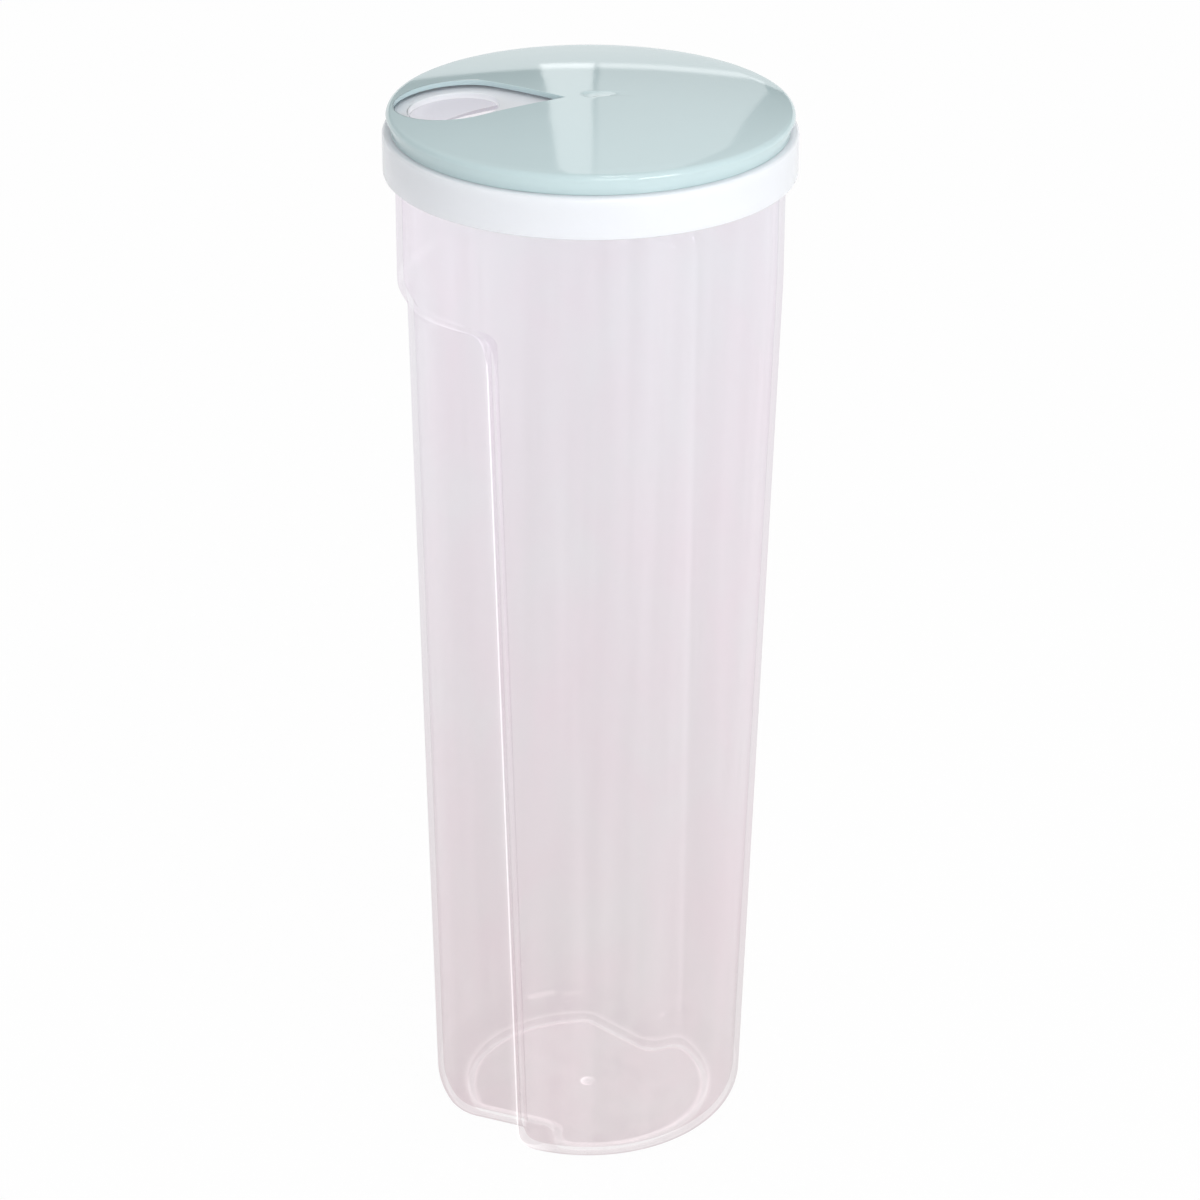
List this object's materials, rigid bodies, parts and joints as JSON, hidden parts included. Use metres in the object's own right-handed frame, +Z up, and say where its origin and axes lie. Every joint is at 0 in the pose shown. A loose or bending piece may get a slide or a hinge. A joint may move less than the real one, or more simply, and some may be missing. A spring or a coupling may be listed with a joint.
{
  "type": "pasta storage container",
  "caption": "Tall clear canister for long pasta with a moulded hand grip, a press-on lid with a portion hole and a domed cover that turns to open or close it.",
  "frame": {"origin": "centre of the base, on the surface that the container stands on", "axes": "+Z up along the container's axis; -Y is the front that faces the viewer, and +X is the viewer's right"},
  "size_m": [0.105, 0.105, 0.2925],
  "materials": {
    "clear_body": "clear gloss",
    "white_lid": "gloss",
    "sage_cover": "satin gloss"
  },
  "bodies": {
    "canister": {"canister_body": "clear_body"},
    "lid": {"portion_lid": "white_lid"},
    "cover": {"turn_cover": "sage_cover"}
  },
  "joints": [
    {"name": "lid_lift", "type": "slide", "parent": "canister", "child": "lid", "axis": [0, 0, 1], "range_m": [0, 0.06]},
    {"name": "cover_turn", "type": "hinge", "parent": "lid", "child": "cover", "pos_m": [0, 0, 0.289], "axis": [0, 0, 1], "continuous": true}
  ]
}
